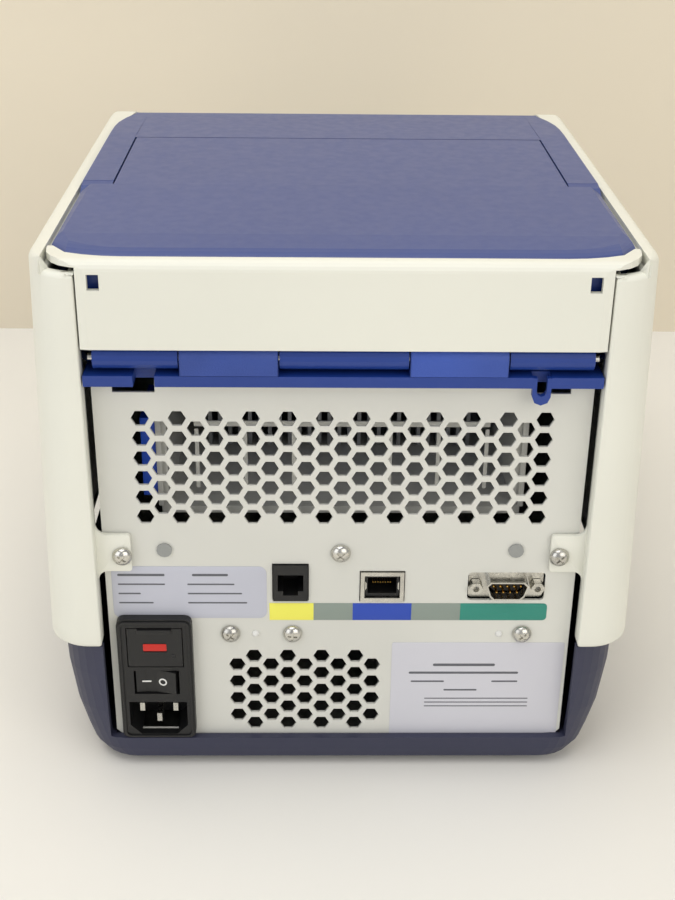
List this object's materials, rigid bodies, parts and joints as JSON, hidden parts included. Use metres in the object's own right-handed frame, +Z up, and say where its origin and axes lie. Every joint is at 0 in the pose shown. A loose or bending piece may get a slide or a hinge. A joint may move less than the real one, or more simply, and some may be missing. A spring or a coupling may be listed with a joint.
{
  "type": "thermal cycler",
  "caption": "Bench-top thermal cycler with a hinged heated lid, sloping touchscreen front, vented sheet-metal rear with power inlet and data ports.",
  "frame": {"origin": "on the surface it stands on, under the middle of its bounding box", "axes": "+Z up, +Y towards the rear face with the connectors, +X to the right of a user who stands in front"},
  "size_m": [0.2396, 0.485, 0.231],
  "materials": {
    "shell_white": "fine satin moulded plastic, warm white",
    "lid_blue": "satin blue moulded plastic with light scratches",
    "deck_blue": "blue plastic, smooth and finely textured areas",
    "base_navy": "dark navy plastic with a fine texture",
    "panel_sheet": "powder-coated sheet steel, light warm grey",
    "steel": "bright plated steel",
    "zinc_sheet": "zinc-plated sheet",
    "aluminium": "machined and anodised aluminium",
    "black_plastic": "black moulded plastic",
    "grey_plastic": "grey moulded plastic",
    "ceramic": "white alumina",
    "circuit_board": "green solder mask",
    "bright_blue": "bright blue plastic",
    "screen_glass": "dark touchscreen glass",
    "rubber": "black rubber"
  },
  "bodies": {
    "base": {"base_tray": "base_navy", "foot_front_left": "rubber", "foot_front_right": "rubber", "foot_rear_left": "rubber", "foot_rear_right": "rubber", "block_gasket": "rubber", "side_panel_left": "shell_white", "side_panel_right": "shell_white", "front_bezel": "shell_white", "rear_panel": "panel_sheet", "air_duct": "panel_sheet", "rear_screw_centre": "steel", "rear_screw_inlet": "steel", "rear_screw_middle": "steel", "rear_screw_serial": "steel", "side_panel_screw_right": "steel", "side_panel_screw_left": "steel", "inlet_pin_line": "steel", "inlet_pin_neutral": "steel", "inlet_pin_earth": "steel", "network_jack": "steel", "serial_port_shell": "steel", "serial_nut_right": "steel", "serial_nut_left": "steel", "hinge_pin": "steel", "usb_port": "steel", "chassis": "zinc_sheet", "power_supply": "zinc_sheet", "hole_plug_left": "grey_plastic", "hole_plug_right": "grey_plastic", "power_inlet": "black_plastic", "can_jack": "black_plastic", "network_jack_insert": "black_plastic", "serial_port_insert": "black_plastic", "fan_frame_left": "black_plastic", "fan_frame_right": "black_plastic", "display_module": "black_plastic", "peltier_left": "ceramic", "peltier_centre": "ceramic", "peltier_right": "ceramic", "top_deck": "deck_blue", "sample_block": "aluminium", "heat_sink": "aluminium", "cable_guide": "bright_blue", "main_board": "circuit_board", "touchscreen": "screen_glass"},
    "lid": {"lid_shell": "lid_blue", "lid_rear_cover": "shell_white", "lid_hinge_frame": "deck_blue", "lid_liner": "deck_blue"},
    "lid_handle_arm": {"lid_handle": "lid_blue"},
    "platen": {"heated_platen": "aluminium"},
    "rocker": {"rocker_switch": "black_plastic"},
    "fuse_tray": {"fuse_drawer": "black_plastic", "fuse_left": "ceramic", "fuse_right": "ceramic"},
    "impeller_left": {"fan_impeller_left": "black_plastic"},
    "impeller_right": {"fan_impeller_right": "black_plastic"},
    "button": {"power_button": "grey_plastic"}
  },
  "joints": [
    {"name": "lid_hinge", "type": "hinge", "parent": "base", "child": "lid", "pos_m": [0, 0.2372, 0.1902], "axis": [-1, 0, 0], "range_deg": [0, 80]},
    {"name": "handle_pivot", "type": "hinge", "parent": "lid", "child": "lid_handle_arm", "pos_m": [0, 0.145, 0.212], "axis": [-1, 0, 0], "range_deg": [0, 24]},
    {"name": "platen_press", "type": "slide", "parent": "lid", "child": "platen", "axis": [0, 0, 1], "range_m": [0, 0.003], "stiffness_N_per_m": 2500, "springref_m": -0.003},
    {"name": "rocker_tilt", "type": "hinge", "parent": "base", "child": "rocker", "pos_m": [0.0761, 0.2345, 0.0441], "axis": [0, 0, 1], "range_deg": [0, 14]},
    {"name": "fuse_drawer_slide", "type": "slide", "parent": "base", "child": "fuse_tray", "axis": [0, 1, 0], "range_m": [0, 0.018]},
    {"name": "fan_left_spin", "type": "hinge", "parent": "base", "child": "impeller_left", "pos_m": [-0.033, -0.035, 0.142], "axis": [0, 1, 0], "continuous": true},
    {"name": "fan_right_spin", "type": "hinge", "parent": "base", "child": "impeller_right", "pos_m": [0.033, -0.035, 0.142], "axis": [0, 1, 0], "continuous": true},
    {"name": "button_press", "type": "slide", "parent": "base", "child": "button", "axis": [0, 0.5585, -0.8295], "range_m": [0, 0.0015], "stiffness_N_per_m": 400, "springref_m": -0.001}
  ]
}
